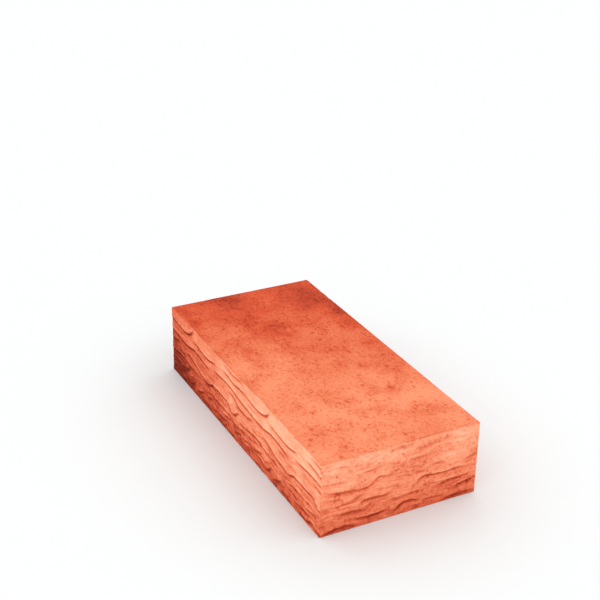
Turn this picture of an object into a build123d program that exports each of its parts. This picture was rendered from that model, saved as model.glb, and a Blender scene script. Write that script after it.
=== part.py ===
from build123d import *
import os
from math import pi, sin

# Overall sizes of the fired brick, in millimetres.
length = 250.0
width = 120.0
height = 55.0
arris = 1.0

# Bark relief of the long face: furrows with a steep upper wall and a sloping lower one.
repeat = 133.0
long_depth = 1.4
long_above = 0.8
long_below = 2.0

# Relief of the two ends, finer and shallower.
end_depth = 1.0
end_above = 0.6
end_below = 1.4

# Half the width of a furrow's bottom, how far the bottom stays back from the tips as a share of the
# length, and how far the cutter stands out of the face.
keel = 0.25
tip = 0.04
clear = 0.5

# How blunt a furrow is in plan (under 1 is blunter), and the points along each of its sides.
bluntness = 0.6
stations = 12

# A furrow that a corner cuts shorter than this is left out, and points closer than this are one.
shortest = 6.0
closest = 0.5

# Height and width of the faces that the routes below were laid out on.
route_height = 60.0
route_width = 120.0

# Middle lines of the furrows as (along, up) from a face's lower left corner.
# The long ones come again after every repeat, also where they start before the corner.
long_routes = [
    [(79, 42), (102, 43.6), (118, 42.8), (133, 40.8), (150, 39), (165, 38.8), (178, 41), (192, 39.8),
     (208, 37.6)],
    [(96, 51.4), (108, 51.2), (117, 50), (133, 51.2), (150, 49.6), (160, 49.3), (168, 51.3), (173, 55),
     (176, 59.3)],
    [(41, 48.4), (48, 48.4), (58, 47.4), (70, 46.6), (79, 48), (85, 50.2)],
    [(32, 30.4), (37, 30.9), (47, 28.3), (60, 24.8), (70, 23.4), (78, 26.4), (86, 27.4), (107, 27.4)],
    [(110, 24.6), (114.5, 22), (119, 23), (123, 26.2), (126.5, 29.6)],
    [(104, 36), (109, 38), (115, 38), (123, 34.6), (133, 33), (141, 33), (147, 34.2), (152, 33.4)],
    [(124, 20.6), (138, 21.4), (151, 23), (163, 22.6), (176, 21), (188, 20.4)],
    [(65, 14), (72, 15.8), (79, 17.6), (90, 16.7), (98, 17.6), (104, 19)],
    [(2, 12.6), (7, 14.2), (13, 13.2), (19, 11.8), (25, 14), (31, 16), (34, 18.4)],
    [(25, 7.8), (30, 8.6), (37, 6.3), (41, 7.8), (45, 11.4), (49, 13.4)],
    [(47, 4.8), (53, 6.4), (58, 8.6), (63, 12)],
    [(80, 6.8), (88, 7.6), (97, 7.8), (106, 9.6)],
    [(99, 11.8), (106, 12.8), (114, 13.4)],
]
end_routes = [
    [(3, 36.4), (8, 34.4), (18, 32.9), (30, 31.6), (37, 33), (43, 37.3), (51, 36.2)],
    [(27, 18.8), (33, 21.3), (45, 21.3), (56, 22)],
    [(9, 15.8), (22, 14.4), (34, 12.9), (39, 12.8)],
    [(45, 13.2), (52, 14.6), (64, 15.2), (83, 16)],
    [(85, 15.6), (95, 17.3), (116, 19.1)],
    [(68, 19.2), (74, 24.6), (80, 27.4), (92, 26), (104, 26.3), (114, 25.4)],
    [(25, 7.4), (36, 6.6), (45, 6.9), (54, 8.8)],
    [(54, 2.8), (61, 8.6), (66, 9.8), (75, 7.4), (85, 6.7), (95, 6.1)],
    [(101, 9.8), (110, 12), (119.5, 14.2)],
    [(12, 22.4), (22, 23), (30, 26.5), (38, 26.4)],
    [(109.5, 30.8), (114, 33.2), (119.5, 35)],
]


# The part of a route that lies on a face of this length, with ends on the face's own ends.
def on_face(route, face_length):
    kept = []
    for (u, v), (next_u, next_v) in zip(route, route[1:]):
        low = max(0.0, (0.0 - u) / (next_u - u))
        high = min(1.0, (face_length - u) / (next_u - u))
        if low >= high:
            continue
        for share in (low, high):
            point = (u + share * (next_u - u), v + share * (next_v - v))
            if not kept or point[0] - kept[-1][0] > closest:
                kept.append(point)
    return kept


# A leaf shape about the middle line, pointed at both tips.
def leaf(line, above, below, inset, level):
    upper = []
    lower = []
    for k in range(stations + 1):
        at = inset + (1 - 2 * inset) * k / stations
        full = sin(pi * k / stations) ** bluntness if 0 < k < stations else 0.0
        middle = line @ at
        across = (line % at).rotate(Axis.Z, 90)
        upper.append(middle + across * above * full + Vector(0, 0, level))
        lower.append(middle - across * below * full + Vector(0, 0, level))
    return make_face([Spline(*upper), Spline(*lower)])


# What is pressed into a face along one route, in the face's own plane.
def furrow(route, above, below, depth):
    line = Spline(*route)
    spread = (depth + clear) / depth
    mouth = leaf(line, above * spread, below * spread, 0.0, clear)
    bottom = leaf(line, keel, keel, tip, -depth)
    return loft([mouth, bottom], ruled=True)


long_face = Plane((-length / 2, -width / 2, 0), x_dir=(1, 0, 0), z_dir=(0, -1, 0))
right_end = Plane((length / 2, -width / 2, 0), x_dir=(0, 1, 0), z_dir=(1, 0, 0))
left_end = Plane((-length / 2, width / 2, 0), x_dir=(0, -1, 0), z_dir=(-1, 0, 0))

block = Box(length, width, height, align=(Align.CENTER, Align.CENTER, Align.MIN))
block = fillet(block.edges(), arris)

cutters = []
rise = height / route_height
for route in long_routes:
    turns = range(-2, int(length / repeat) + 1)
    for turn in turns:
        moved = [(u + turn * repeat, v * rise) for u, v in route]
        kept = on_face(moved, length)
        if len(kept) > 1 and kept[-1][0] - kept[0][0] > shortest:
            cutters.append(long_face * furrow(kept, long_above, long_below, long_depth))
for route in end_routes:
    scaled = [(u * width / route_width, v * rise) for u, v in route]
    cutter = furrow(scaled, end_above, end_below, end_depth)
    cutters.append(right_end * cutter)
    cutters.append(left_end * cutter)

brick = block
for cutter in cutters:
    brick = brick - cutter

os.makedirs("parts", exist_ok=True)
export_step(brick.solid(), "parts/brick.step")
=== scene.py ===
import math
import bpy
import bmesh
import numpy as np
from mathutils import Matrix, Vector, noise
from types import SimpleNamespace


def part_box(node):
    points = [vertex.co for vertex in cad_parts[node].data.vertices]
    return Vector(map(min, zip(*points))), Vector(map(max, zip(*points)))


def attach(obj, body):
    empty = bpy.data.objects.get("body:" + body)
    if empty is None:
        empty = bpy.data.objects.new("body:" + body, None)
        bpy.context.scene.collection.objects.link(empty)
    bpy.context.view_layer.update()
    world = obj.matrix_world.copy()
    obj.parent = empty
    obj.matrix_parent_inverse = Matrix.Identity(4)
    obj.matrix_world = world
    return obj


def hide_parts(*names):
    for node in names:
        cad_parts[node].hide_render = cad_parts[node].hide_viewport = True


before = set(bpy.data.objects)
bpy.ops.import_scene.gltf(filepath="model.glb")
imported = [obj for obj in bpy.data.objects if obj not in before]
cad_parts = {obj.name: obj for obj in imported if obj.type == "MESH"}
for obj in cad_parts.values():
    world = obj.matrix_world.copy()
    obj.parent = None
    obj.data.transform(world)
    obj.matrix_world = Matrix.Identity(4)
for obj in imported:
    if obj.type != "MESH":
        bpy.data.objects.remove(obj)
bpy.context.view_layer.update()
boxLow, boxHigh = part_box("brick")
mm = 0.001
brickLength, brickWidth, brickHeight = (boxHigh - boxLow) / mm
print("stage: frame loaded", [round(v, 2) for v in (brickLength, brickWidth, brickHeight)])

# Camera, as fitted to the corners of the lying brick in a 600 x 600 picture.
cameraView = {
    "place": (683.6, -367.5, 477.4),
    "azimuth": 62.47,
    "elevation": 25.77,
    "roll": 0.88,
    "focalPixels": 1220.8,
    "pictureWidth": 600,
    "sensorWidth": 36,
    "clipStart": 0.01,
    "clipEnd": 50,
}


def addCamera():
    az = math.radians(cameraView["azimuth"])
    el = math.radians(cameraView["elevation"])
    roll = math.radians(cameraView["roll"])
    forward = Vector((-math.sin(az) * math.cos(el), math.cos(az) * math.cos(el), -math.sin(el)))
    level = forward.cross(Vector((0, 0, 1))).normalized()
    upward = level.cross(forward)
    right = level * math.cos(roll) + upward * math.sin(roll)
    above = upward * math.cos(roll) - level * math.sin(roll)
    turn = Matrix((right, above, -forward)).transposed().to_4x4()
    data = bpy.data.cameras.new("photoCamera")
    data.sensor_width = cameraView["sensorWidth"]
    data.lens = cameraView["focalPixels"] * data.sensor_width / cameraView["pictureWidth"]
    data.clip_start = cameraView["clipStart"]
    data.clip_end = cameraView["clipEnd"]
    camera = bpy.data.objects.new("photoCamera", data)
    camera.matrix_world = Matrix.Translation(Vector(cameraView["place"]) * mm) @ turn
    bpy.context.scene.collection.objects.link(camera)
    bpy.context.scene.camera = camera


addCamera()
print("stage: camera set")

# What can be changed about the brick. Sizes are in millimetres. A tone of 0 is pale and 1.4 is dark red.
clayBrick = {
    # The skin: its rounded corners and arrises, its cells along, across and up, the gap from the rim to the
    # beds' grids, how far it stays inside the box, and how squarely a point faces the side it belongs to.
    "cornerRadius": 1.1,
    "cornerCells": 4,
    "arris": 0.7,
    "arrisRows": 3,
    "frontColumns": 400,
    "endColumns": 166,
    "backColumns": 60,
    "rows": 102,
    "topCells": (140, 66),
    "bottomCells": (60, 30),
    "bedMargin": 2.4,
    "clear": 0.02,
    "facing": 0.7,

    # The furrows are laid out on a sheet this high, and the long face's come again after every repeat.
    "sheetHeight": 60.0,
    "repeat": 133.0,

    # Each end of a furrow runs out over this distance, or over this share of a short furrow's length. A power
    # under 1 makes the tips blunter.
    "taper": 13.0,
    "taperShare": 0.35,
    "tipPower": 0.7,

    # The plates between the furrows: how deep they lie, how they lean below a furrow and rise to its lip.
    "plateLevel": 0.3,
    "tiltReach": 6.0,
    "tiltShare": 0.4,
    "lipReach": 2.2,
    "lipHeight": 0.3,

    # How far a furrow bends the bark lines beside it, squared, and the weight of lines that run straight.
    "flowSpread": 12.0,
    "straightWeight": 1e-4,

    # How far apart the faces lie in the noise along the bark.
    "faceApart": 400.0,

    # The long face: its furrows' section, the painted shade in and around them and the painted highlight on
    # their lips, then bands of (top, span, share) down to the foot, where a base and bands of painted shade
    # darken it.
    "long": {
        "depth": 1.4, "above": 0.8, "below": 1.35,
        "core": 0.9, "coreBelow": 0.6, "coreShade": 0.26, "coreGain": 0.24,
        "halo": 2.8, "haloBelow": 1.6, "haloShade": 0.08,
        "lipHighlight": 0.16, "faintShade": 0.08, "barkShare": 1.0,
        "roughBand": (33, 16, 0.88),
        "paintedShade": 0.0,
        "paintedShadeBands": [(46, 18, 0.13), (26, 18, 0.16)],
    },
    # The ends, finer and shallower.
    "end": {
        "depth": 0.52, "above": 0.65, "below": 1.05,
        "core": 0.9, "coreBelow": 0.25, "coreShade": 0.22, "coreGain": 0.0,
        "halo": 2.0, "haloBelow": 0.7, "haloShade": 0.12,
        "lipHighlight": 0.1, "faintShade": 0.12, "barkShare": 0.45,
        "roughBand": (30, 14, 0.33),
        "paintedShade": 0.12,
        "paintedShadeBands": [(46, 20, 0.08), (22, 14, 0.16), (11, 9, 0.09)],
    },
    # How rough the smooth plates are, and from which height and over what span the painted shade in the
    # furrows' cores deepens.
    "leastRough": 0.12,
    "coreRise": (12, 14),
    # The plain back's shares of the ends' painted shade towards the foot and of the bark's drag lines.
    "backShade": 0.5,
    "backBark": 0.4,

    # Painted shade: the long face is drawn darker and redder towards its left end: height band, band of the
    # distance from there, and tone.
    "leftEndShade": [(44, 20, 50, 40, 0.13), (32, 16, 150, 130, 0.05)],
    # Painted shade at its foot, drawn darker red, most so between two distances: height band and tone, least
    # share, start, end.
    "footShadeBand": (14, 9, 0.16),
    "footShadeLeast": 0.4,
    "footShadeStart": (60, 50),
    "footShadeEnd": (240, 40),
    # Painted shade along the floor: the lowest edge of every side darkens by this tone, which fades over this
    # height.
    "footShadeTone": 0.1,
    "footShadeFade": 2.0,

    # Noise along the bark: length and height of its cells, and where in the noise it starts.
    "patterns": {
        "broken": (30, 7, 51.9),
        "lumps": (19, 3.4, 31.7),
        "streaks": (30, 1.9, 0.0),
        "waves": (36, 10, 77.3),
        "arrisWaves": (15, 40, 5.5),
    },
    # Creases are given in the same way, with the noise's value at their edges as the last number.
    "creases": {
        "lens": (32, 3.5, 9.3, 0.13),
        "fine": (9, 2.1, 23.1, 0.28),
        "faint": (42, 3.2, 77.7, 0.2),
    },
    # The lens-shaped creases come in patches, and the faint ones are weaker where it is rough.
    "brokenFrom": -0.3,
    "brokenSpan": 0.4,
    "faintCalm": 0.6,

    # Depths of those patterns, with a rough part's own share of the streaks.
    "lensDepth": 0.42,
    "fineDepth": 0.2,
    "faintDepth": 0.12,
    "lumpDepth": 0.18,
    "streakDepth": 0.096,
    "roughStreakDepth": 0.16,
    "waveDepth": 0.144,
    "pitDepth": 0.4,
    "pitRadius": 0.85,

    # The upper arris of the long face swings in and out by this much, down to this far below it.
    "arrisWave": 1.1,
    "arrisWaveLift": 0.45,
    "arrisWaveReach": 4.0,
    # Where a furrow crosses the arris it takes the rim down with it, by this share of its depth.
    "arrisDrop": 1.5,
    "dropShare": 0.7,

    # The relief is flatter at the foot and the corners: how far from there, and what is left of it there. The
    # last pair does the same for the painted shade and highlight of the carving at the foot.
    "footCalm": (8, 0.35),
    "cornerCalm": (3, 0.7),
    "footShadeCalm": (14, 0.55),

    # Small chips along the arrises.
    "chipSize": 6.0,
    "chipStart": 12.9,
    "chipFrom": 0.3,
    "chipSpan": 0.3,
    "chipDepth": 0.3,
    "chipReach": 1.2,

    # The beds: a slow wave and small hollows, as (size, start, depth), that fade out near the arris.
    "bedWave": (38.0, 5.1, 0.16),
    "bedHollows": (5.5, 3.3, 0.12),
    "bedCalm": 8.0,

    # Tones that the carving adds: painted shade in the lens-shaped and fine creases and in the pits, the
    # streaks' own tone, and the painted highlight on the pale crests.
    "lensTone": 0.32,
    "fineTone": 0.12,
    "streakTone": 0.04,
    "roughStreakTone": 0.09,
    "pitTone": 0.2,
    "highlightTone": 0.13,

    # Darker firing marks of the top bed: (x, y, half length, half width, strength), from the bed's middle.
    # The long one along the back edge at the left, at (-70, 56), is painted shade.
    "firingMarksAndShade": [
        (-53, 0, 15, 12, 0.65), (-25, -38, 16, 7, 0.7), (-60, -22, 10, 6, 0.4), (21, 28, 7, 5, 0.5),
        (44, 42, 12, 9, 0.6), (62, 24, 12, 9, 0.7), (79, 10, 11, 8, 0.6), (55, -40, 9, 6, 0.5),
        (95, 32, 9, 12, 0.5), (75, -5, 16, 7, 0.45), (-117, -12, 9, 7, 0.5), (-100, -55, 22, 4, 0.5),
        (-80, 38, 26, 12, 0.15), (10, -10, 20, 8, 0.2), (-5, 48, 18, 7, 0.25), (-70, 56, 60, 12, 0.35),
    ],
    # How strongly they show, their blotches as (size, start), and how even they are.
    "markTone": 0.45,
    "markBlotches": (9.0, 61.3),
    "markEvenness": 0.75,
}

# Each furrow: its depth as a share of the face's, then its middle line as (along, up) from the lower left.
longFurrows = [
    (1.0, [(78, 42), (90, 42.8), (102, 43.6), (111, 43.5), (120, 42.5), (133, 40.6), (151, 39), (165, 38.7),
           (173, 40), (179, 41), (192, 39.8), (208, 37.9)]),
    (1.0, [(95, 51.6), (108, 51.2), (117, 49.9), (133, 51.2), (150, 49.6), (160, 49.3), (168, 51.3),
           (173, 55), (177, 60.5)]),
    (1.0, [(40.5, 48.4), (46, 48.6), (58, 47.4), (70, 46.6), (79, 48), (86, 50.4)]),
    (1.0, [(28, 29.6), (36, 30.9), (47, 28.3), (60, 24.8), (70, 23.4), (76, 25.3), (81, 27.3), (96, 27.1),
           (107, 27.4), (111, 24), (115, 22), (119, 23), (123, 26.2), (127, 30)]),
    (0.9, [(124, 20.4), (138, 21.4), (151, 23), (163, 22.7), (168, 21.6), (179, 20.8), (189, 20.3)]),
    (0.8, [(64, 13.6), (72, 15.8), (79, 17.6), (90, 16.6), (98, 17.6), (105, 19.2)]),
    (0.6, [(69, 11.4), (74, 12), (78, 13.6)]),
    (0.9, [(1, 12.4), (6, 14.4), (12, 13.6), (18, 11.6), (24, 13.6), (31, 16), (35, 19.2)]),
    (0.75, [(25, 7.8), (30, 8.8), (34, 7), (38, 6.2), (42, 8.6), (45, 11.4), (49, 13.4)]),
    (0.6, [(35, 11.6), (40, 13.4), (45, 14.4)]),
    (0.8, [(46.5, 4.6), (52, 6.2), (58, 8.6), (63, 12)]),
    (0.8, [(80, 6.8), (87, 7.6), (96, 7.8), (103, 8.4), (107, 10)]),
    (0.8, [(58, 2.4), (66, 4.2), (74, 4), (81, 2)]),
    (0.7, [(96, 2.4), (101, 3.2), (105, 6.4)]),
    (0.7, [(97, 12), (104, 12.8), (110, 13.6), (114, 13.4)]),
    (0.7, [(99, 57.4), (107, 57.9), (114, 57.4), (124, 57.6), (133, 59.2)]),
    (0.8, [(104, 36), (109, 38.4), (115, 38.4), (121, 36.4), (125, 33.4), (133, 33), (141, 33), (147, 34.3),
           (152, 33.4)]),
    (0.4, [(14, 28.4), (20, 27.5), (28, 27.6)]),
    (0.4, [(56, 35.3), (62, 35), (67, 33.6)]),
    (0.35, [(70, 32.4), (77, 32.6), (85, 33.2)]),
    (0.45, [(82, 22.2), (92, 22.8), (100, 22.2), (107, 22.8)]),
    (0.4, [(14, 18.2), (21, 18.6), (28, 18)]),
    (0.6, [(119, 8.2), (123, 9), (127, 10)]),
    (0.6, [(123, 4.8), (129, 7.2), (135, 5.2)]),
    (0.5, [(3, 5.8), (9, 7), (15, 6.2)]),
    (0.35, [(90, 38), (97, 38.6), (103, 37)]),
    (0.5, [(123, 12), (127, 13.4), (131, 15.8), (137, 15)]),
    (0.6, [(19, 2), (27, 2.8), (33, 2)]),
    (0.6, [(46, 2), (52, 2.8), (57, 2)]),
    (0.6, [(84, 2), (93, 2.8), (100, 2.2)]),
    (0.6, [(106, 2), (113, 2.6), (121, 2.6)]),
    (0.35, [(4, 45.6), (14, 45), (24, 45.8)]),
    (0.35, [(52, 43), (60, 43.8), (68, 43)]),
]
endFurrows = [
    (1.0, [(2.5, 36.6), (6, 34.8), (18, 32.9), (30, 31.5), (36, 32.2), (40, 35.4), (44, 38), (48, 36.8),
           (55, 35.8)]),
    (0.6, [(-1, 22.6), (3, 21.6), (8, 21)]),
    (0.7, [(11, 22.4), (20, 22.8), (25, 24), (30, 26.6), (38, 26.4)]),
    (1.4, [(26.5, 18.4), (29, 19.4), (33, 21.4), (41, 21.5), (48, 21), (56, 22)]),
    (1.0, [(8.5, 16), (14, 14.8), (26, 14.2), (34, 12.8), (39, 12.8)]),
    (0.9, [(45, 13), (52, 14.6), (64, 15.2), (76, 15.9), (83, 16)]),
    (1.0, [(25, 7.6), (34, 6.6), (44, 6.8), (54, 8.8)]),
    (1.5, [(53, 2.2), (56, 4.6), (60, 8.2), (64, 9.8), (69, 9.4), (75, 7.2)]),
    (0.8, [(76, 6.4), (85, 6.7), (96, 6)]),
    (1.4, [(84, 15.6), (91, 16.5), (98, 17.7), (108, 18), (116, 19.2)]),
    (1.2, [(67.5, 19), (71, 22.2), (75, 25.6), (79, 27.5), (86, 26.3), (96, 25.8), (104, 26.4),
           (114, 25.3)]),
    (1.2, [(101, 9.8), (107, 11.4), (114, 13), (121, 14.4)]),
    (0.9, [(109, 30.6), (113, 33), (121, 35.6)]),
    (0.6, [(31, 44.9), (39, 45), (44, 46.4), (45, 48.6)]),
    (0.6, [(65, 44.4), (74, 44.8), (81, 45.4), (84, 48.6)]),
    (0.6, [(64, 38.3), (71, 37.8), (78, 35)]),
    (0.5, [(55, 32.8), (62, 33), (67, 31.2), (69, 28.4)]),
    (0.5, [(69, 33.2), (75, 32.2), (81, 31.6)]),
    (0.5, [(83, 35.5), (91, 35.3), (95, 32.6)]),
    (1.2, [(-1, 1.8), (8, 3), (18, 4.2), (25, 2.6), (29, 1)]),
    (0.9, [(91, 1.2), (104, 3.2), (121, 2)]),
    (0.5, [(51, 49.6), (52.6, 56.2), (58, 57.4), (70, 56.8)]),
    (0.5, [(69, 52.5), (79, 52.8), (84, 54.6), (91, 56)]),
    (0.45, [(0, 42.6), (6, 42.2), (16, 41.4), (20, 39.8)]),
    (0.45, [(49, 46.6), (56, 45.8), (60, 45.4)]),
    (0.45, [(51, 43.2), (58, 42.6), (63, 41.6)]),
    (0.5, [(-1, 9), (5, 8.8)]),
    (0.5, [(6, 11.2), (12, 9.8)]),
    (0.45, [(50, 26.6), (56, 25.6), (63, 22)]),
    (0.5, [(69, 1.4), (72, 3.2), (75, 2)]),
    (0.4, [(86, 22.6), (97, 22), (108, 22.6)]),
    (0.35, [(2, 29.4), (10, 28.6), (18, 28)]),
    (0.35, [(8, 55), (17, 54.2), (24, 53.2)]),
]

# Small pits in the ends, as (along, up).
endPits = [
    (17, 54), (26, 52), (28, 43), (32.5, 38.5), (97, 44), (107.5, 43.5), (101, 52), (103, 48), (116, 43),
    (118, 48), (37, 15.8), (7, 53.5), (89, 55.8), (81, 53.2), (52, 56), (61, 50.5), (12, 47), (46, 52),
]

# Painted highlights, pale spots where a plate rises out of a furrow: (along, up, half length, half width).
longHighlights = [
    (45, 54.5, 5, 4), (97, 55.5, 7, 3.5), (38, 44.5, 6, 2.5), (76, 44.5, 5, 2), (123.5, 21.5, 3.5, 4),
    (58, 12.5, 4, 3), (112, 34, 5, 2.5), (90, 30, 6, 2),
]
endHighlights = [
    (10, 54, 12, 4), (36, 56.5, 12, 4), (54, 53, 6, 3), (110, 55, 14, 6), (22, 38, 12, 3), (100, 40, 12, 3),
]


# A furrow's middle line as a smooth run of points.
def smoothRoute(points, perSpan=5):
    p = np.array([points[0], *points, points[-1]], float)
    t = np.linspace(0, 1, perSpan, endpoint=False)[:, None]
    spans = []
    for a, b, c, d in zip(p, p[1:], p[2:], p[3:]):
        bend = (c - a) * t + (2 * a - 5 * b + 4 * c - d) * t**2 + (3 * b - a - 3 * c + d) * t**3
        spans.append(b + bend / 2)
    return np.vstack(spans + [p[-1:]])


# How far each point lies from a route (positive is below it) and its share of the way along.
def measureFrom(route, along, up):
    start, step = route[:-1], np.diff(route, axis=0)
    offset = np.stack([along, up], -1)[:, None, :] - start
    share = np.clip((offset * step).sum(-1) / (step**2).sum(-1), 0, 1)
    gap = offset - share[..., None] * step
    far = np.hypot(gap[..., 0], gap[..., 1])
    nearest = far.argmin(1)
    rows = np.arange(len(along))
    side = step[nearest, 1] * offset[rows, nearest, 0] - step[nearest, 0] * offset[rows, nearest, 1]
    runs = np.concatenate([[0], np.cumsum(np.hypot(step[:, 0], step[:, 1]))])
    way = (runs[nearest] + share[rows, nearest] * np.diff(runs)[nearest]) / runs[-1]
    return far[rows, nearest] * np.sign(side), way


def smoothStep(x):
    x = np.clip(x, 0, 1)
    return x * x * (3 - 2 * x)


# Falls from 1 below a band to 0 at its top.
def bandBelow(value, top, span):
    return smoothStep((top - value) / span)


# Rises from a share, where the value is 0, to 1 where it comes to the reach.
def riseFrom(value, reach, share):
    return share + (1 - share) * smoothStep(value / reach)


# Depth of the furrows, their dark core and its surround, which are drawn as painted shade, the lips above
# them, which also get a painted highlight, and each point's flow line.
def pressBark(furrows, along, up, face):
    s = clayBrick
    reach = 3 * s["tiltReach"]
    depths, cores, halos, lips, shifts = np.zeros((5, len(along)))
    weights = np.full(len(along), s["straightWeight"])
    for share, points in furrows:
        route = smoothRoute(points)
        low, high = route.min(0) - reach, route.max(0) + reach
        near = np.flatnonzero((along > low[0]) & (along < high[0]) & (up > low[1]) & (up < high[1]))
        if not len(near):
            continue
        off, way = measureFrom(route, along[near], up[near])
        below = np.maximum(off, 0)
        routeLength = np.hypot(*np.diff(route, axis=0).T).sum()
        taper = min(s["taper"], s["taperShare"] * routeLength)
        full = share * smoothStep(np.minimum(way, 1 - way) * routeLength / taper) ** s["tipPower"]
        uphill = smoothStep(1 + off / face["above"])
        groove = np.where(off < 0, uphill, np.exp(-(below / face["below"]) ** 2))
        tilt = s["tiltShare"] * np.exp(-below / s["tiltReach"]) * (off > 0)
        depths[near] = np.maximum(depths[near], face["depth"] * full * np.maximum(groove, tilt))
        core = np.exp(-((off - face["coreBelow"]) / face["core"]) ** 2)
        cores[near] = np.maximum(cores[near], full * core)
        halo = np.exp(-((off - face["haloBelow"]) / face["halo"]) ** 2)
        halos[near] = np.maximum(halos[near], face["haloShade"] * full * halo)
        lip = smoothStep(-off / face["above"]) * np.exp(np.minimum(off + face["above"], 0) / s["lipReach"])
        lips[near] = np.maximum(lips[near], full * lip * (off < 0))
        pull = share / (off**2 + s["flowSpread"]) ** 1.5
        there = np.interp(way, np.linspace(0, 1, len(route)), route[:, 1])
        weights[near] += pull
        shifts[near] += pull * (route[:, 1].mean() - there)
    return depths, cores, halos, lips, up + shifts / weights


# The furrows at the brick's own height, with the long face's copies to both sides.
def layFurrows(furrows, turns=(0,)):
    s = clayBrick
    rise = brickHeight / s["sheetHeight"]
    laid = []
    for turn in turns:
        for share, points in furrows:
            laid.append((share, [(u + turn * s["repeat"], v * rise) for u, v in points]))
    return laid


# The outline with its rounded corners, drawn up into a belt of rows.
def growBelt(bm):
    s = clayBrick
    bmesh.ops.create_grid(bm, x_segments=1, y_segments=1, size=0.5)
    bmesh.ops.scale(bm, vec=(brickLength, brickWidth, 1), verts=bm.verts)
    bmesh.ops.bevel(
        bm, geom=bm.verts[:], affect="VERTICES", offset=s["cornerRadius"], offset_type="OFFSET",
        segments=s["cornerCells"], profile=0.5, material=-1,
    )
    bmesh.ops.delete(bm, geom=bm.faces[:], context="FACES_ONLY")
    columns = {
        (0, -1): s["frontColumns"],
        (0, 1): s["backColumns"],
        (-1, 0): s["endColumns"],
        (1, 0): s["endColumns"],
    }
    # Only the four sides are divided, not the short edges of the rounded corners.
    for edge in bm.edges[:]:
        if edge.calc_length() < 10 * s["cornerRadius"]:
            continue
        middle = (edge.verts[0].co + edge.verts[1].co) / 2
        side = (round(2 * middle.x / brickLength), round(2 * middle.y / brickWidth))
        bmesh.ops.subdivide_edges(bm, edges=[edge], cuts=columns[side] - 1)
    grown = bmesh.ops.extrude_edge_only(bm, edges=bm.edges[:])["geom"]
    raised = [g for g in grown if isinstance(g, bmesh.types.BMVert)]
    bmesh.ops.translate(bm, verts=raised, vec=(0, 0, s["rows"]))
    upright = [e for e in bm.edges if abs(e.verts[0].co.z - e.verts[1].co.z) > 1]
    bmesh.ops.subdivide_edges(bm, edges=upright, cuts=s["rows"] - 1, use_grid_fill=True)


# One bed as a grid inside the belt's rim, joined to it.
def closeBed(bm, level, height, cells):
    s = clayBrick
    rim = [e for e in bm.edges if e.is_boundary and abs(e.verts[0].co.z - level) < 0.01]
    inset = s["arris"] + s["bedMargin"]
    made = bmesh.ops.create_grid(bm, x_segments=cells[0], y_segments=cells[1], size=0.5)["verts"]
    bmesh.ops.scale(bm, vec=(brickLength - 2 * inset, brickWidth - 2 * inset, 1), verts=made)
    bmesh.ops.translate(bm, verts=made, vec=(0, 0, height))
    inner = [e for v in made for e in v.link_edges if e.is_boundary]
    bmesh.ops.bridge_loops(bm, edges=rim + list(dict.fromkeys(inner)))


# The skin as one closed mesh, whose heights are still row numbers, with each bed one row beyond the belt.
def growSkin():
    s = clayBrick
    bm = bmesh.new()
    growBelt(bm)
    closeBed(bm, 0, -1, s["bottomCells"])
    closeBed(bm, s["rows"], s["rows"] + 1, s["topCells"])
    bmesh.ops.recalc_face_normals(bm, faces=bm.faces)
    mesh = bpy.data.meshes.new("brickSkin")
    bm.to_mesh(mesh)
    bm.free()
    mesh.calc_loop_triangles()
    print("stage: skin of", len(mesh.loop_triangles), "triangles")
    return mesh


# Row numbers become heights, with the arrises as quarter rounds. Returns inset and height.
def arrisProfile(row):
    s = clayBrick
    n, r = s["arrisRows"], s["arris"]
    inner = (row - n) / (s["rows"] - 2 * n) * (brickHeight - 2 * r) + r
    turn = np.clip(np.minimum(row, s["rows"] - row) / n, 0, 1) * math.pi / 2
    inset = r * (1 - np.sin(turn))
    low = r * (1 - np.cos(turn))
    height = np.where(row < n, low, np.where(row > s["rows"] - n, brickHeight - low, inner))
    return inset, height


# Where the skin's points lie: height, way out, face, and place along that face from its lower left corner.
def layOutSkin(co):
    s = clayBrick
    p = SimpleNamespace(co=co)
    p.onBelt = (co[:, 2] > -0.5) & (co[:, 2] < s["rows"] + 0.5)
    inset, height = arrisProfile(co[:, 2])
    p.height = np.where(p.onBelt, height, np.where(co[:, 2] < 0, 0, brickHeight))
    p.below = brickHeight - p.height
    p.inset = np.where(p.onBelt, inset, 0)
    corner = np.array([brickLength, brickWidth]) / 2 - s["cornerRadius"]
    outward = co[:, :2] - np.clip(co[:, :2], -corner, corner)
    size = np.hypot(outward[:, 0], outward[:, 1])
    p.outward = outward / np.maximum(size, 1e-9)[:, None] * p.onBelt[:, None]
    p.front = p.onBelt & (p.outward[:, 1] < -s["facing"])
    p.right = p.onBelt & (p.outward[:, 0] > s["facing"]) & ~p.front
    p.left = p.onBelt & (p.outward[:, 0] < -s["facing"]) & ~p.front
    p.ends = p.right | p.left
    p.barked = p.front | p.ends
    p.along = co[:, 0].copy()
    p.along[p.front] = co[p.front, 0] + brickLength / 2
    p.along[p.right] = co[p.right, 1] + brickWidth / 2
    p.along[p.left] = brickWidth / 2 - co[p.left, 1]
    return p


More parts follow.
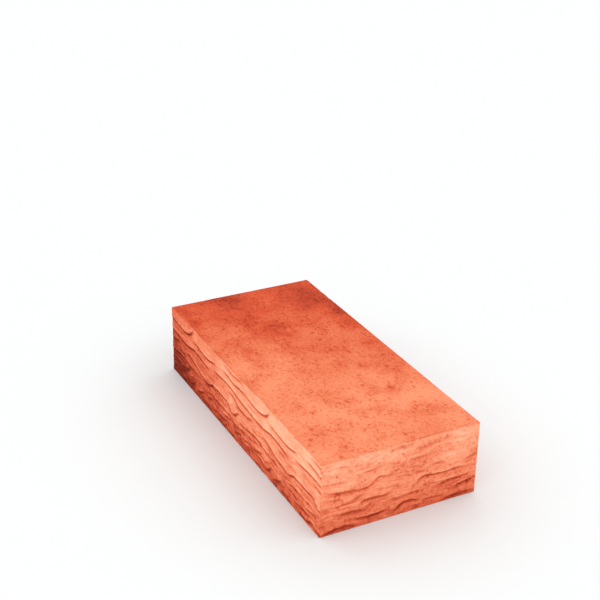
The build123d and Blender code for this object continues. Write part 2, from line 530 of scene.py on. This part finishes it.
# Presses the furrows into the long face and both ends, and notes where the bark flows and how rough it is.
def pressFaces(p):
    s = clayBrick
    p.depths, p.cores, p.halos, p.lips, p.rough = np.zeros((5, len(p.co)))
    flow = p.height.copy()
    drawn = p.along.copy()
    p.longTurns = range(-2, int(brickLength / s["repeat"]) + 1)
    faces = [
        (p.front, layFurrows(longFurrows, p.longTurns), s["long"]),
        (p.right, layFurrows(endFurrows), s["end"]),
        (p.left, layFurrows(endFurrows), s["end"]),
    ]
    for number, (mask, furrows, face) in enumerate(faces):
        where = np.flatnonzero(mask)
        pressed = pressBark(furrows, p.along[where], p.height[where], face)
        p.depths[where], p.cores[where], p.halos[where], p.lips[where], flow[where] = pressed
        top, span, gain = face["roughBand"]
        p.rough[where] = s["leastRough"] + gain * bandBelow(p.height[where], top, span)
        drawn[where] += s["faceApart"] * number
    p.flowing = np.stack([drawn, flow, np.zeros(len(p.co))], -1)


# Soft spots on a face, given as (along, up, half length, half width): 1 in a spot's middle.
def spotsAt(p, mask, spots, turns=(0,)):
    s = clayBrick
    found = np.zeros(len(p.co))
    for u, v, halfLength, halfWidth in spots:
        for turn in turns:
            beside = (p.along - u - turn * s["repeat"]) / halfLength
            upward = (p.height - v * brickHeight / s["sheetHeight"]) / halfWidth
            found = np.maximum(found, np.exp(-beside**2 - upward**2) * mask)
    return found


# Noise at each point, with cells of the given size in millimetres.
def noiseAt(points, size, shift=0.0):
    scaled = np.asarray(points, float) / size
    return np.array([noise.noise(Vector((x + shift, y, z))) for x, y, z in scaled])


# One of the patterns that run along the bark.
def patternAt(p, name):
    long, tall, shift = clayBrick["patterns"][name]
    return noiseAt(p.flowing, (long, tall, 1), shift)


# Creases run where a noise changes sign: 1 in the crease and 0 beside it.
def creasesAt(p, name):
    long, tall, shift, width = clayBrick["creases"][name]
    return smoothStep(1 - np.abs(noiseAt(p.flowing, (long, tall, 1), shift)) / width)


# Lens-shaped creases where it is rough, long faint lines on the smooth plates, pits, pale spots of painted
# highlight and chips.
def drawPatterns(p):
    s = clayBrick
    broken = smoothStep((patternAt(p, "broken") - s["brokenFrom"]) / s["brokenSpan"])
    p.lens = creasesAt(p, "lens") * broken
    p.fine = creasesAt(p, "fine")
    p.faint = creasesAt(p, "faint") * (1 - s["faintCalm"] * p.rough)
    p.streaks = patternAt(p, "streaks")
    p.pits = spotsAt(p, p.ends, [(u, v, s["pitRadius"], s["pitRadius"]) for u, v in endPits])
    p.crests = spotsAt(p, p.front, longHighlights, p.longTurns)
    p.crests = np.maximum(p.crests, spotsAt(p, p.ends, endHighlights))
    chips = noiseAt(np.column_stack([p.co[:, :2], p.height]), s["chipSize"], s["chipStart"])
    nearArris = np.exp(-np.minimum(p.height, p.below) / s["chipReach"])
    p.chip = s["chipDepth"] * smoothStep((chips - s["chipFrom"]) / s["chipSpan"]) * nearArris


# The relief moves the belt inwards and the beds towards each other, all of it inside the box.
def moveSkin(p):
    s = clayBrick
    lines = p.rough * (p.lens * s["lensDepth"] + p.fine * s["fineDepth"]) + p.faint * s["faintDepth"]
    grain = p.streaks * (s["streakDepth"] + s["roughStreakDepth"] * p.rough)
    grain += patternAt(p, "waves") * s["waveDepth"]
    hollow = np.maximum(patternAt(p, "lumps"), 0) * p.rough * s["lumpDepth"]
    wavy = (patternAt(p, "arrisWaves") + s["arrisWaveLift"]) * s["arrisWave"] * p.front
    wavy *= np.exp(-p.below / s["arrisWaveReach"])
    inward = s["plateLevel"] + p.depths - p.lips * s["lipHeight"] + grain + hollow + lines + wavy
    inward += p.pits * s["pitDepth"]

    fromEnd = brickLength / 2 - np.abs(p.co[:, 0])
    fromSide = brickWidth / 2 - np.abs(p.co[:, 1])
    toCorner = np.where(p.front, fromEnd, fromSide)
    calm = riseFrom(p.height, *s["footCalm"]) * riseFrom(toCorner, *s["cornerCalm"]) * p.barked
    inward = np.maximum(inward * calm + p.chip, 0) + p.inset + s["clear"]
    moved = p.co.copy()
    moved[:, :2] -= p.outward * (inward * p.onBelt)[:, None]
    upper = p.onBelt & (p.height > brickHeight / 2)
    drop = np.exp(-p.below / s["arrisDrop"]) * (p.depths * s["dropShare"] + p.chip) * upper
    moved[:, 2] = p.height - drop

    size, start, depth = s["bedWave"]
    wave = (noiseAt(p.co, size, start) * 0.5 + 0.5) * depth
    size, start, depth = s["bedHollows"]
    wave += np.maximum(noiseAt(p.co, size, start), 0) * depth
    wave = wave * smoothStep(np.minimum(fromEnd, fromSide) / s["bedCalm"]) * ~p.onBelt
    moved[:, 2] += np.where(p.height > 1, -wave, wave)
    return moved


# Painted shade on the sides, from before the carving: pale at the upper arris and darker red down to the
# foot.
def paintedShadeOf(p, face):
    s = clayBrick
    paintedShade = face["paintedShade"] + s["footShadeTone"] * np.exp(-p.height / s["footShadeFade"])
    for top, span, tone in face["paintedShadeBands"]:
        paintedShade = paintedShade + tone * bandBelow(p.height, top, span)
    return paintedShade


# The tones that the material turns into colour, and how far each point is barked and on a side.
def shadeSkin(p):
    s = clayBrick
    # Painted shade: darker and redder towards the foot and towards the long face's left end.
    frontShade = paintedShadeOf(p, s["long"])
    for top, span, far, reach, tone in s["leftEndShade"]:
        frontShade += tone * bandBelow(p.height, top, span) * bandBelow(p.along, far, reach)
    start, span = s["footShadeStart"]
    middle = smoothStep((p.along - start) / span) * bandBelow(p.along, *s["footShadeEnd"])
    top, span, tone = s["footShadeBand"]
    footShare = s["footShadeLeast"] + (1 - s["footShadeLeast"]) * middle
    frontShade += tone * bandBelow(p.height, top, span) * footShare
    endShade = paintedShadeOf(p, s["end"])
    paintedShade = np.where(p.front, frontShade, np.where(p.ends, endShade, s["backShade"] * endShade))

    # A value of the face that each point lies on.
    def faceValue(name):
        return np.where(p.front, s["long"][name], s["end"][name])

    start, span = s["coreRise"]
    coreShade = faceValue("coreShade") + faceValue("coreGain") * smoothStep((p.height - start) / span)
    calm = riseFrom(p.height, *s["footShadeCalm"])
    # Painted shade in the furrows' cores and surround, the creases and the pits, painted highlight on the
    # lips and pale crests, and the streaks' own tone.
    carved = p.cores * coreShade + p.halos - p.lips * faceValue("lipHighlight") * calm
    carved += p.rough * (p.lens * s["lensTone"] * calm + p.fine * s["fineTone"])
    carved += p.faint * faceValue("faintShade")
    carved += p.streaks * (s["streakTone"] + s["roughStreakTone"] * p.rough)
    carved += p.pits * s["pitTone"] - p.crests * (1 - p.cores) * s["highlightTone"]

    marks = np.zeros(len(p.co))
    for x, y, halfLength, halfWidth, strength in s["firingMarksAndShade"]:
        away = ((p.co[:, 0] - x) / halfLength) ** 2 + ((p.co[:, 1] - y) / halfWidth) ** 2
        marks = np.maximum(marks, strength * np.exp(-away))
    size, start = s["markBlotches"]
    marks = marks * (s["markEvenness"] + noiseAt(p.co, size, start)) * (p.height > brickHeight / 2)
    side = np.where(p.onBelt, smoothStep(p.below / s["arris"]), 0)
    return {
        "tone": side * (paintedShade + carved * p.barked) + (1 - side) * marks * s["markTone"],
        "bark": np.maximum(p.barked * faceValue("barkShare"), side * s["backBark"]),
        "side": side,
    }


def buildBrick():
    mesh = growSkin()
    co = np.zeros(len(mesh.vertices) * 3, np.float32)
    mesh.vertices.foreach_get("co", co)
    p = layOutSkin(co.reshape(-1, 3).astype(float))
    pressFaces(p)
    print("stage: furrows pressed")
    drawPatterns(p)
    moved = moveSkin(p) * mm + np.array([0, 0, boxLow.z])
    mesh.vertices.foreach_set("co", moved.astype(np.float32).ravel())
    for name, value in shadeSkin(p).items():
        mesh.attributes.new(name, "FLOAT", "POINT").data.foreach_set("value", value.astype(np.float32))
    flow = mesh.attributes.new("barkFlow", "FLOAT_VECTOR", "POINT")
    flow.data.foreach_set("vector", p.flowing.astype(np.float32).ravel())
    mesh.polygons.foreach_set("use_smooth", np.ones(len(mesh.polygons), bool))
    mesh.update()
    brick = bpy.data.objects.new("clayBrick", mesh)
    bpy.context.scene.collection.objects.link(brick)
    return brick


# An sRGB hex colour as the linear one that the nodes take.
def hexColour(text, alpha=1.0):
    parts = [int(text[i:i + 2], 16) / 255 for i in (1, 3, 5)]
    return (*[p / 12.92 if p <= 0.04045 else ((p + 0.055) / 1.055) ** 2.4 for p in parts], alpha)


# Adds a node: settings are its properties, inputs are values or the sockets that feed them.
def addNode(tree, kind, inputs=None, **settings):
    node = tree.nodes.new("ShaderNode" + kind)
    for name, value in settings.items():
        setattr(node, name, value)
    for key, value in (inputs or {}).items():
        if isinstance(value, bpy.types.NodeSocket):
            tree.links.new(value, node.inputs[key])
        else:
            node.inputs[key].default_value = value
    return node


# Fired clay with sanded beds and rolled bark: matt salmon orange, with painted shade that turns it deep red
# in every hollow.
firedClay = {
    # Colours of the sides and of the beds, from tone 0, the palest, up to the end of the range. The sides'
    # paler scale is painted light on the sides.
    "sideTones": [
        (0.0, "#F7B28E"), (0.3, "#EC8763"), (0.55, "#D36040"), (0.8, "#A83C23"), (1.05, "#7E2613"),
        (1.4, "#5A1508"),
    ],
    "bedTones": [
        (0.0, "#DB8360"), (0.25, "#CE6D4A"), (0.6, "#BC492B"), (1.0, "#912D18"), (1.4, "#7C2512"),
    ],
    "toneRange": 1.4,

    # Painted shade, darker and redder towards the back left: the way in which it deepens, from where to where
    # in metres, and by how much.
    "backLeftShadeWay": (-0.8, 0.5, 0.0),
    "backLeftShadeFrom": -0.07,
    "backLeftShadeTo": 0.11,
    "backLeftShadeOnBed": 0.58,
    "backLeftShadeOnSides": 0.48,

    # Sizes are in millimetres. A range is the noise's low and high value and the tone at each.
    "cloudSize": 55.0,
    "cloudRange": (0.35, 0.7, -0.08, 0.2),
    "smudgeSize": 17.0,
    "smudgeRange": (0.45, 0.72, 0.0, 0.2),
    "marksOnSides": 0.35,

    # Specks lie closer together in the smudges, and are weaker in the bark.
    "speckSize": 2.6,
    "speckStretch": (0.78, 1.0, 1.0),
    "speckRange": (0.52, 0.68, 0.0, 0.37),
    "clusterRange": (0.35, 0.65, 0.4, 1.2),
    "specksInBark": 0.32,

    # Cells of the streaks in a millimetre, along the bark and across it.
    "streakScale": (0.09, 0.5, 1.0),
    "streakRange": (0.3, 0.7, -0.08, 0.13),

    # Real sand is much finer and wouldn't show at this distance, so it is drawn this coarse.
    "grainSize": 2.2,
    "grainRange": (0.3, 0.7, 0.12, -0.12),
    "sandOnSides": 0.6,

    # How far sand, specks and streaks stand out or lie deep, as shares of the bump's distance in metres.
    "sandRelief": 0.35,
    "speckRelief": -0.8,
    "streakRelief": -1.5,
    "bumpStrength": 0.6,
    "bumpDistance": 0.0004,
    "roughness": 0.88,
    "specularLevel": 0.1,
}


# Inputs of a map range: the value, its low and high end, and what these become.
def ranged(value, numbers):
    return dict(enumerate((value, *numbers)))


def firedClayMaterial():
    c = firedClay
    material = bpy.data.materials.new("firedClay")
    material.use_nodes = True
    tree = material.node_tree
    tree.nodes.clear()
    place = addNode(tree, "TexCoord").outputs["Object"]
    flow = addNode(tree, "Attribute", attribute_name="barkFlow").outputs["Vector"]
    tone, bark, side = [
        addNode(tree, "Attribute", attribute_name=name).outputs["Fac"] for name in ("tone", "bark", "side")
    ]

    # Painted shade: one end of the brick is drawn darker and redder than the other.
    backLeftShade = addNode(tree, "VectorMath", {
        0: place, 1: c["backLeftShadeWay"],
    }, operation="DOT_PRODUCT").outputs["Value"]
    backLeftShade = addNode(tree, "MapRange", {
        0: backLeftShade, 1: c["backLeftShadeFrom"], 2: c["backLeftShadeTo"],
    }, interpolation_type="SMOOTHSTEP").outputs[0]
    weight = addNode(tree, "MapRange", {0: side, 3: c["backLeftShadeOnBed"], 4: c["backLeftShadeOnSides"]}).outputs[0]
    tone = addNode(tree, "Math", {0: backLeftShade, 1: weight, 2: tone}, operation="MULTIPLY_ADD").outputs[0]

    # Clouds and smudges of the firing, weaker on the sides.
    cloud = addNode(tree, "TexNoise", {
        "Vector": place, "Scale": 1000 / c["cloudSize"], "Detail": 2.0,
    }).outputs[0]
    cloud = addNode(tree, "MapRange", ranged(cloud, c["cloudRange"])).outputs[0]
    smudge = addNode(tree, "TexNoise", {
        "Vector": place, "Scale": 1000 / c["smudgeSize"], "Detail": 5.0, "Roughness": 0.65,
    }).outputs[0]
    cluster = addNode(tree, "MapRange", ranged(smudge, c["clusterRange"])).outputs[0]
    smudge = addNode(tree, "MapRange", ranged(smudge, c["smudgeRange"])).outputs[0]
    marks = addNode(tree, "Math", {0: cloud, 1: smudge}, operation="ADD").outputs[0]
    weight = addNode(tree, "MapRange", {0: side, 3: 1.0, 4: c["marksOnSides"]}).outputs[0]
    tone = addNode(tree, "Math", {0: marks, 1: weight, 2: tone}, operation="MULTIPLY_ADD").outputs[0]

    # Specks of coarser grog.
    speck = addNode(tree, "Mapping", {"Vector": place, "Scale": c["speckStretch"]}).outputs[0]
    speck = addNode(tree, "TexNoise", {
        "Vector": speck, "Scale": 1000 / c["speckSize"], "Detail": 3.0, "Roughness": 0.6, "Distortion": 0.4,
    }).outputs[0]
    speck = addNode(tree, "MapRange", ranged(speck, c["speckRange"])).outputs[0]
    speck = addNode(tree, "Math", {0: speck, 1: cluster}, operation="MULTIPLY").outputs[0]
    weight = addNode(tree, "MapRange", {0: bark, 3: 1.0, 4: c["specksInBark"]}).outputs[0]
    tone = addNode(tree, "Math", {0: speck, 1: weight, 2: tone}, operation="MULTIPLY_ADD").outputs[0]

    # Streaks that follow the bark, as it was rolled.
    streak = addNode(tree, "Mapping", {"Vector": flow, "Scale": c["streakScale"]}).outputs[0]
    streak = addNode(tree, "TexNoise", {
        "Vector": streak, "Scale": 1.0, "Detail": 5.0, "Roughness": 0.62, "Distortion": 0.2,
    }).outputs[0]
    streak = addNode(tree, "MapRange", ranged(streak, c["streakRange"])).outputs[0]
    tone = addNode(tree, "Math", {0: streak, 1: bark, 2: tone}, operation="MULTIPLY_ADD").outputs[0]

    # Sand of the surface.
    grain = addNode(tree, "TexNoise", {
        "Vector": place, "Scale": 1000 / c["grainSize"], "Detail": 3.0, "Roughness": 0.7,
    }).outputs[0]
    sand = addNode(tree, "MapRange", ranged(grain, c["grainRange"])).outputs[0]
    weight = addNode(tree, "MapRange", {0: side, 3: 1.0, 4: c["sandOnSides"]}).outputs[0]
    tone = addNode(tree, "Math", {0: sand, 1: weight, 2: tone}, operation="MULTIPLY_ADD").outputs[0]

    # The tone becomes a colour, on a paler scale for the sides than for the beds, which paints light onto the
    # sides.
    tone = addNode(tree, "Math", {0: tone, 1: 1 / c["toneRange"]}, operation="MULTIPLY").outputs[0]
    paints = []
    for tones in (c["bedTones"], c["sideTones"]):
        ramp = addNode(tree, "ValToRGB", {0: tone})
        while len(ramp.color_ramp.elements) < len(tones):
            ramp.color_ramp.elements.new(0.5)
        for stop, (at, colour) in zip(ramp.color_ramp.elements, tones):
            stop.position = at / c["toneRange"]
            stop.color = hexColour(colour)
        paints.append(ramp.outputs[0])
    colour = addNode(tree, "Mix", {0: side, 6: paints[0], 7: paints[1]}, data_type="RGBA").outputs[2]

    # Sandy skin with small pits, and fine bark lines along the flow.
    relief = addNode(tree, "Math", {0: grain, 1: c["sandRelief"]}, operation="MULTIPLY").outputs[0]
    relief = addNode(tree, "Math", {
        0: speck, 1: c["speckRelief"], 2: relief,
    }, operation="MULTIPLY_ADD").outputs[0]
    lines = addNode(tree, "Math", {0: streak, 1: bark}, operation="MULTIPLY").outputs[0]
    relief = addNode(tree, "Math", {
        0: lines, 1: c["streakRelief"], 2: relief,
    }, operation="MULTIPLY_ADD").outputs[0]
    bump = addNode(tree, "Bump", {
        "Height": relief, "Strength": c["bumpStrength"], "Distance": c["bumpDistance"],
    }).outputs[0]
    shader = addNode(tree, "BsdfPrincipled", {
        "Base Color": colour, "Roughness": c["roughness"], "IOR": 1.5,
        "Specular IOR Level": c["specularLevel"], "Normal": bump,
    })
    addNode(tree, "OutputMaterial", {"Surface": shader.outputs[0]})
    return material


brick = buildBrick()
brick.data.materials.append(firedClayMaterial())
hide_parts("brick")
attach(brick, "root")
print("stage: brick built")

# A plain pale floor under an even white sky, with a ring of wide soft lamps all round.
studio = {
    "floorSize": 40.0,
    "floorColour": "#D4D6D6",
    "skyStrength": 0.75,
    "lamps": 8,
    "lampElevation": 40.0,
    "lampStrength": 0.46,
    "lampAngle": 50.0,
}


def addStudio():
    s = studio
    bm = bmesh.new()
    bmesh.ops.create_grid(bm, x_segments=1, y_segments=1, size=s["floorSize"] / 2)
    bmesh.ops.translate(bm, verts=bm.verts, vec=(0, 0, boxLow.z))
    mesh = bpy.data.meshes.new("paleFloor")
    bm.to_mesh(mesh)
    bm.free()
    floor = bpy.data.objects.new("paleFloor", mesh)
    bpy.context.scene.collection.objects.link(floor)
    paint = bpy.data.materials.new("palePaint")
    paint.use_nodes = True
    skin = paint.node_tree.nodes["Principled BSDF"]
    skin.inputs["Base Color"].default_value = hexColour(s["floorColour"])
    skin.inputs["Roughness"].default_value = 1.0
    skin.inputs["Specular IOR Level"].default_value = 0.0
    mesh.materials.append(paint)

    world = bpy.data.worlds.new("softSky")
    bpy.context.scene.world = world
    world.use_nodes = True
    sky = world.node_tree.nodes["Background"]
    sky.inputs["Color"].default_value = (1, 1, 1, 1)
    sky.inputs["Strength"].default_value = s["skyStrength"]

    el = math.radians(s["lampElevation"])
    for number in range(s["lamps"]):
        az = 2 * math.pi * number / s["lamps"]
        toward = Vector((math.sin(az) * math.cos(el), -math.cos(az) * math.cos(el), math.sin(el)))
        data = bpy.data.lights.new(f"softLamp{number}", "SUN")
        data.energy = s["lampStrength"]
        data.angle = math.radians(s["lampAngle"])
        lamp = bpy.data.objects.new(f"softLamp{number}", data)
        lamp.rotation_euler = toward.to_track_quat("Z", "Y").to_euler()
        bpy.context.scene.collection.objects.link(lamp)
    bpy.context.scene.view_settings.view_transform = "Standard"


addStudio()
print("stage: studio set")
